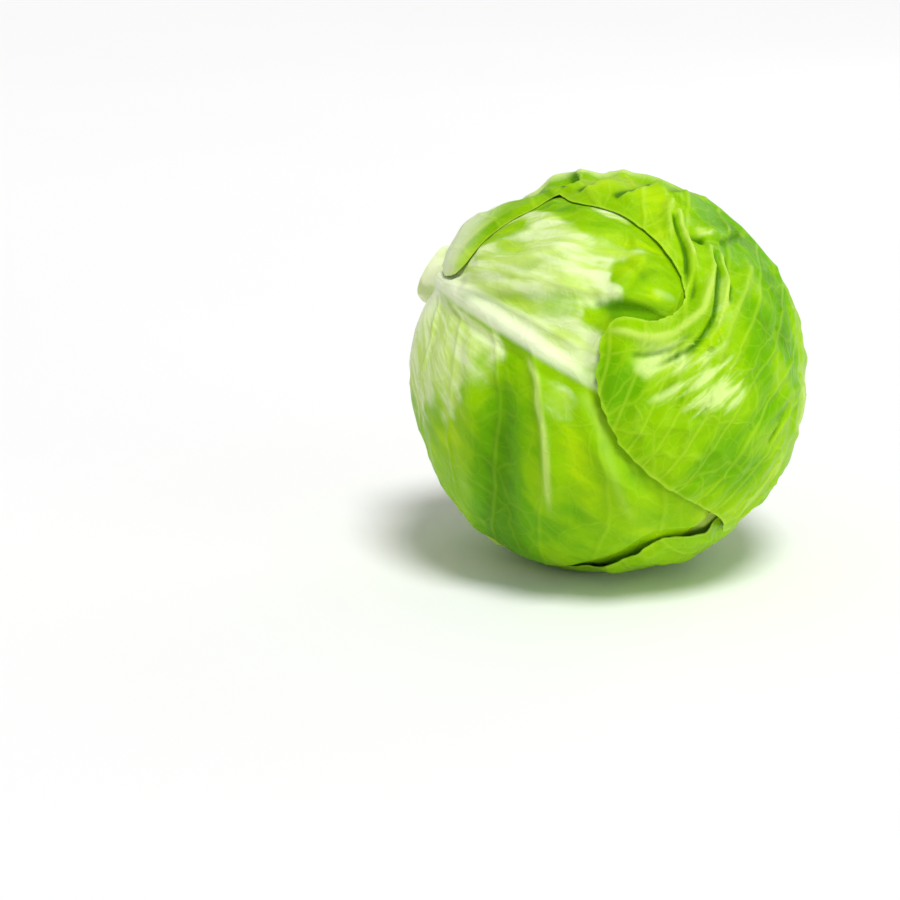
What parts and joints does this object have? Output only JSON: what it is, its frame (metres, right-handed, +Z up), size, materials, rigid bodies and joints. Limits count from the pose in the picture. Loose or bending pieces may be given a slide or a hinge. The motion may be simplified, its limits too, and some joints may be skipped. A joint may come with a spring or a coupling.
{
  "type": "green cabbage",
  "caption": "Whole green cabbage lying on its side, with broad wrapper leaves overlapping a dense heart and a cut stem.",
  "frame": {"origin": "on the surface that the head rests on, under the middle of its bounding box", "axes": "+Z up from the surface. -Y towards the front, from where the head is seen with its cut stem to the upper left and away. +X to the right"},
  "size_m": [0.1624, 0.165, 0.1641],
  "materials": {
    "stem": "moist cut stem, pale green-white",
    "heart": "pale yellow-green leaf, satin",
    "green_leaf": "waxy green leaf, satin to glossy, pale ribs",
    "pale_leaf": "waxy pale green leaf with a white rib, satin",
    "inner_leaf": "light green leaf, satin"
  },
  "bodies": {
    "root": {"stem": "stem", "heart": "heart", "outer_leaf_top": "green_leaf", "outer_leaf_back": "green_leaf", "outer_leaf_front": "pale_leaf", "inner_leaf_1": "inner_leaf", "inner_leaf_2": "inner_leaf", "inner_leaf_3": "inner_leaf", "inner_leaf_4": "inner_leaf", "inner_leaf_5": "inner_leaf"}
  },
  "joints": []
}
